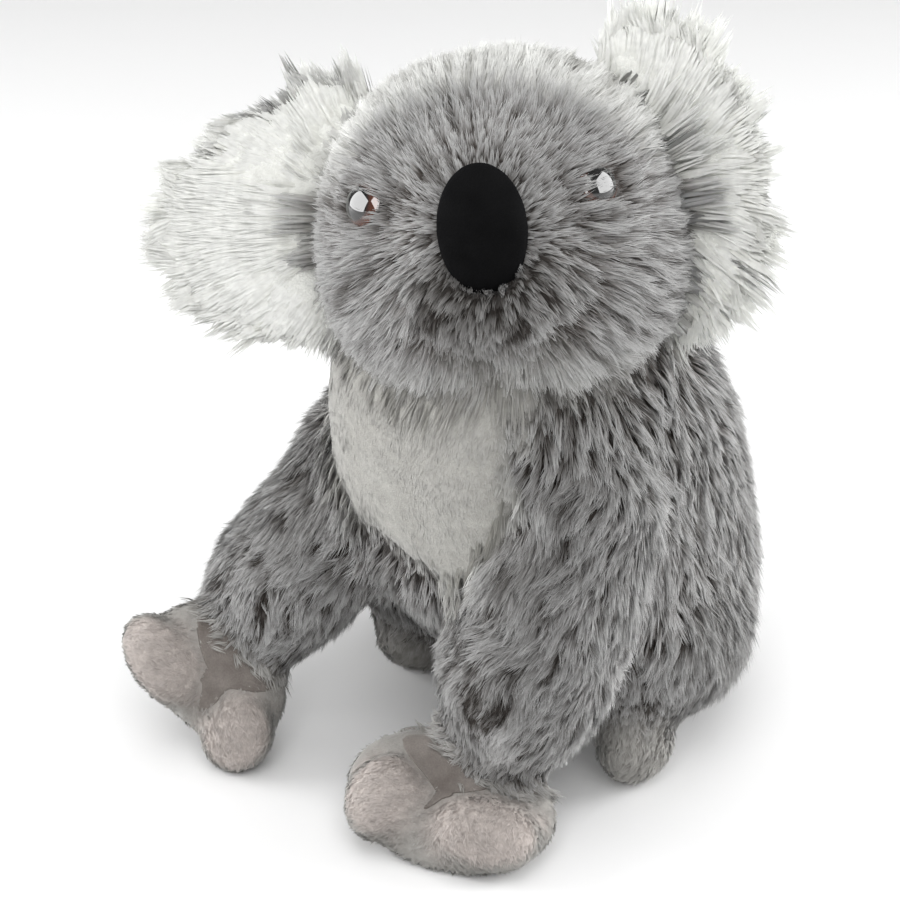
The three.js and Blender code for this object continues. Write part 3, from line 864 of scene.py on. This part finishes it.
# Brushed suede is a warm grey brown with a fine grain and a faint sheen.
suede = napped_finish(
    "sole_suede", [(0.3, (0.130, 0.111, 0.098)), (0.7, (0.225, 0.200, 0.182))], clouds=(130.0, 4.0),
    nap_scale=1700.0, bump=0.5, roughness=0.85, specular=0.15,
    grain=[(0.3, (0.86, 0.86, 0.86)), (0.7, (1.08, 1.08, 1.08))],
)
suede.node_tree.nodes["Principled BSDF"].inputs["Sheen Weight"].default_value = 0.3
suede.node_tree.nodes["Principled BSDF"].inputs["Sheen Roughness"].default_value = 0.5
for side in SIDES:
    palm_sole = sole(f"sole_{side}", side)
    palm_sole.data.materials.append(suede)
    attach(palm_sole, "root")

# ---------------------------------------------------------------- the nose
# A long oval button padded out and covered in black flock, sewn on with a dimple at each nostril.

nose_points, nose_triangles = node_surface("nose")
nose = remeshed("nose_button", nose_points, nose_triangles, 0.0007)
nose_places = numbers(nose.data.vertices, "co", np.float32, 3).astype(float)
nose_edges = numbers(nose.data.edges, "vertices", np.int32, 2)
nose_places = eased(nose_places, nose_edges, 14, 0.5)
nose.data.vertices.foreach_set("co", nose_places.astype(np.float32).ravel())
nose.data.update()

# The flock is near black, soft and without shine, with a few caught light fibres.
flock = napped_finish(
    "black_flock", [(0.3, (0.0014, 0.0014, 0.0016)), (0.8, (0.0032, 0.0032, 0.0035))], clouds=(160.0, 2.0),
    nap_scale=1800.0, bump=0.7, roughness=0.9, specular=0.03,
)
nose.data.materials.clear()
nose.data.materials.append(flock)
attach(nose, "root")
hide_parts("nose")

# ---------------------------------------------------------------- the eyes
# Each eye is a domed safety eye of glossy plastic: a black pupil in a narrow brown iris, pushed through
# the cloth and locked inside with a washer.


def dome(name, centre, radius, axis, rings=24, around=48):
    """A closed ball with its pole on an axis: point (a, b) is the centre plus the radius times
    (cos b along the axis and sin b round it at angle a). Its ring attribute is b as a share of a quarter
    turn."""
    east = unit(np.cross(axis, [0.3, 0.2, 0.9]))
    north = np.cross(axis, east)
    a = np.arange(around) * 2 * np.pi / around
    b = np.arange(1, rings) * np.pi / rings
    circle = np.cos(a)[:, None] * east + np.sin(a)[:, None] * north
    shell = np.cos(b)[:, None, None] * axis + np.sin(b)[:, None, None] * circle
    points = np.concatenate([[axis], shell.reshape(-1, 3), [-axis]]) * radius + centre
    here, there = np.arange(around), (np.arange(around) + 1) % around
    rows = 1 + np.arange(rings - 2)[:, None] * around
    quads = np.stack([rows + here, rows + around + here, rows + around + there, rows + there], 2)
    quads = quads.reshape(-1, 4)
    last = 1 + (rings - 2) * around
    top = np.stack([np.zeros(around, int), 1 + here, 1 + there], 1)
    bottom = np.stack([last + here, np.full(around, last + around), last + there], 1)
    corners = np.concatenate([top.ravel(), quads.ravel(), bottom.ravel()])
    sizes = np.concatenate([np.full(around, 3), np.full(len(quads), 4), np.full(around, 3)])
    piece = new_piece(name, points, corners, sizes)
    turn = np.concatenate([[0], np.repeat(b, around), [np.pi]]) / (np.pi / 2)
    put_attribute(piece, "ring", np.column_stack([turn, turn, turn]))
    return piece


def eye_finish():
    """Glossy moulded plastic: a black pupil, a brown iris that is brighter at its edge, and a dark rim."""
    material, tree, shader = new_finish("eye_gloss")
    stops = [
        (0.0, (0.002, 0.002, 0.002)), (0.50, (0.002, 0.002, 0.002)), (0.56, (0.06, 0.016, 0.007)),
        (0.74, (0.13, 0.036, 0.014)), (0.84, (0.012, 0.005, 0.004)),
    ]
    tree.links.new(colour_ramp(tree, three_parts(tree, "ring")[0], stops), shader.inputs["Base Color"])
    shader.inputs["Roughness"].default_value = 0.05
    shader.inputs["Specular IOR Level"].default_value = 0.0
    shader.inputs["Coat Weight"].default_value = 1.0
    shader.inputs["Coat Roughness"].default_value = 0.02
    shader.inputs["Coat IOR"].default_value = 1.9
    return material


EYE_SHARE = 1.06  # the plastic's radius as a share of the CAD eye's
eye_gloss = eye_finish()
for side in SIDES:
    eye_centre, eye_radius = eye_balls[side]
    gaze = unit(eye_centre - head_middle)
    eye = dome(f"eye_button_{side}", eye_centre, EYE_SHARE * eye_radius, gaze)
    eye.data.materials.append(eye_gloss)
    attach(eye, "root")
    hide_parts(f"eye_{side}")

# ---------------------------------------------------------------- the floor, the light and the camera
# A plain pale floor under a soft overhead light and a softer key light by the camera, with a tall soft
# panel at each side of the toy. Two broad cards light nothing but gloss, so the eyes are pale at their sides.

FLOOR_HALF = 4.0  # half the floor's side
floor_points = np.array([[-1, -1, 0], [1, -1, 0], [1, 1, 0], [-1, 1, 0]]) * FLOOR_HALF
floor = new_piece("floor", floor_points.astype(float), np.arange(4), np.array([4]))
floor_paint, _, floor_shader = new_finish("pale_floor")
floor_shader.inputs["Base Color"].default_value = (0.9, 0.9, 0.9, 1)
floor_shader.inputs["Roughness"].default_value = 0.9
floor.data.materials.append(floor_paint)


def soft_panel(name, place, aim, width, height, power, on_cloth=True, in_gloss=True):
    """An upright area light at a place, facing the point it is aimed at, which lights cloth, shows in
    polished surfaces, or does both."""
    light = bpy.data.lights.new(name, "AREA")
    light.shape = "RECTANGLE"
    light.size, light.size_y = width, height
    light.energy = power
    lamp = placed(name, light)
    lamp.location = place
    lamp.rotation_mode = "QUATERNION"
    lamp.rotation_quaternion = (Vector(aim) - Vector(place)).to_track_quat("-Z", "Y")
    lamp.visible_diffuse = on_cloth
    lamp.visible_glossy = in_gloss
    lamp.visible_camera = False


world = bpy.data.worlds.new("studio")
world.use_nodes = True
world.node_tree.nodes["Background"].inputs["Color"].default_value = (1, 1, 1, 1)
world.node_tree.nodes["Background"].inputs["Strength"].default_value = 0.28
bpy.context.scene.world = world
bpy.context.scene.view_settings.view_transform = "Standard"

# The camera stands at an azimuth and an elevation: right is to its right, level is the way to it along
# the floor, and back is the way to it from the toy.
box_middle = (np.array(cad_box[0]) + np.array(cad_box[1])) / 2
azimuth, elevation = np.radians(42), np.radians(30)
right = np.array([np.cos(azimuth), np.sin(azimuth), 0])
level = np.array([np.sin(azimuth), -np.cos(azimuth), 0])
back = level * np.cos(elevation) + [0, 0, np.sin(elevation)]
soft_panel("top_panel", box_middle - level * 0.05 + [0, 0, 1.25], box_middle, 1.3, 1.3, 8.5, in_gloss=False)
soft_panel("key_panel", box_middle + level * 0.80 + [0, 0, 0.95], box_middle, 0.9, 0.9, 7, in_gloss=False)
for turn, name, power in ((-1, "left", 5.6), (1, "right", 7)):
    panel_place = box_middle + turn * right * 0.85 - level * 0.10 + [0, 0, 0.20]
    soft_panel(f"{name}_panel", panel_place, box_middle, 0.45, 0.70, power, in_gloss=False)
    card_place = box_middle + turn * right * 0.98 + level * 0.38 + [0, 0, 0.45]
    soft_panel(f"{name}_card", card_place, box_middle, 2.2, 2.1, 92, on_cloth=False)

AIM_FROM_MIDDLE = np.array([-0.0020, -0.0127, -0.0133])  # where it looks, from the middle of the CAD box
DISTANCE = 0.72
camera_data = bpy.data.cameras.new("camera")
camera_data.sensor_width = 36
camera_data.lens = 96
camera_data.clip_start = 0.01
camera = placed("camera", camera_data)
camera.location = box_middle + AIM_FROM_MIDDLE + back * DISTANCE
camera.rotation_mode = "QUATERNION"
camera.rotation_quaternion = Vector(-back).to_track_quat("-Z", "Y")
bpy.context.scene.camera = camera

bpy.context.view_layer.update()
